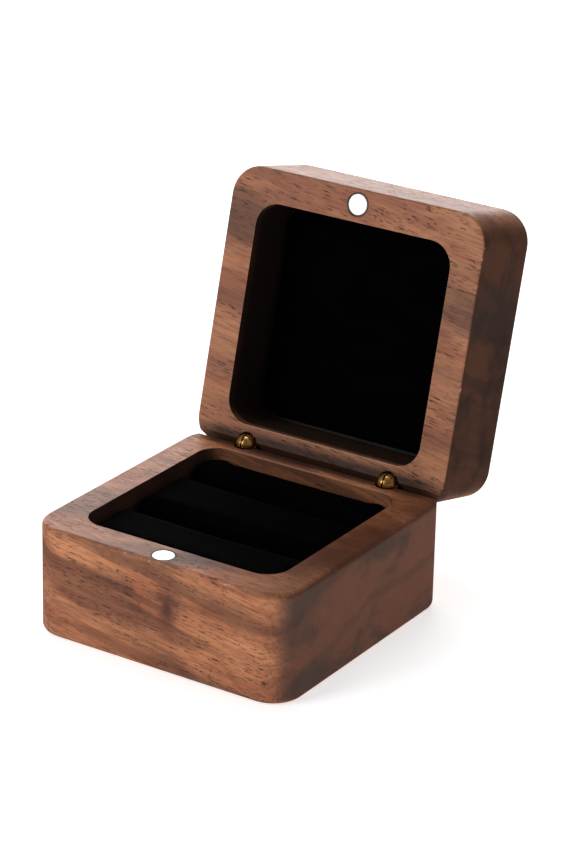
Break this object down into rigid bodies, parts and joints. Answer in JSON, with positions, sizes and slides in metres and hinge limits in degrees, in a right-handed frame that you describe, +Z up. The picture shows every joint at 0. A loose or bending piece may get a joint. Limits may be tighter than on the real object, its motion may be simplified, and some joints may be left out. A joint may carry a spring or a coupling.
{
  "type": "ring box",
  "caption": "Square wooden ring box with a hinged lid, barrel hinges, magnetic closure and a velvet ring cushion.",
  "frame": {"origin": "centre of the underside of the base", "axes": "+X along the hinge line to the right seen from the front, +Y to the hinged rear, +Z up"},
  "size_m": [0.056, 0.0835, 0.0735],
  "materials": {
    "walnut": "oiled walnut with a satin sheen",
    "brass": "polished",
    "nickel": "bright nickel plate",
    "velvet": "black velvet pile",
    "board": "dark backing card"
  },
  "bodies": {
    "base": {"base_shell": "walnut", "base_magnet": "nickel", "left_base_barrel": "brass", "right_base_barrel": "brass", "left_hinge_pin": "brass", "right_hinge_pin": "brass", "cushion_board": "board", "cushion_front_roll": "velvet", "cushion_middle_roll": "velvet", "cushion_rear_roll": "velvet"},
    "lid": {"lid_shell": "walnut", "lid_magnet": "nickel", "left_lid_barrel": "brass", "right_lid_barrel": "brass", "lid_lining_board": "board", "lid_lining": "velvet"}
  },
  "joints": [
    {"name": "lid_hinge", "type": "hinge", "parent": "base", "child": "lid", "pos_m": [0, 0.0253, 0.02195], "axis": [1, 0, 0], "range_deg": [0, 104]}
  ]
}
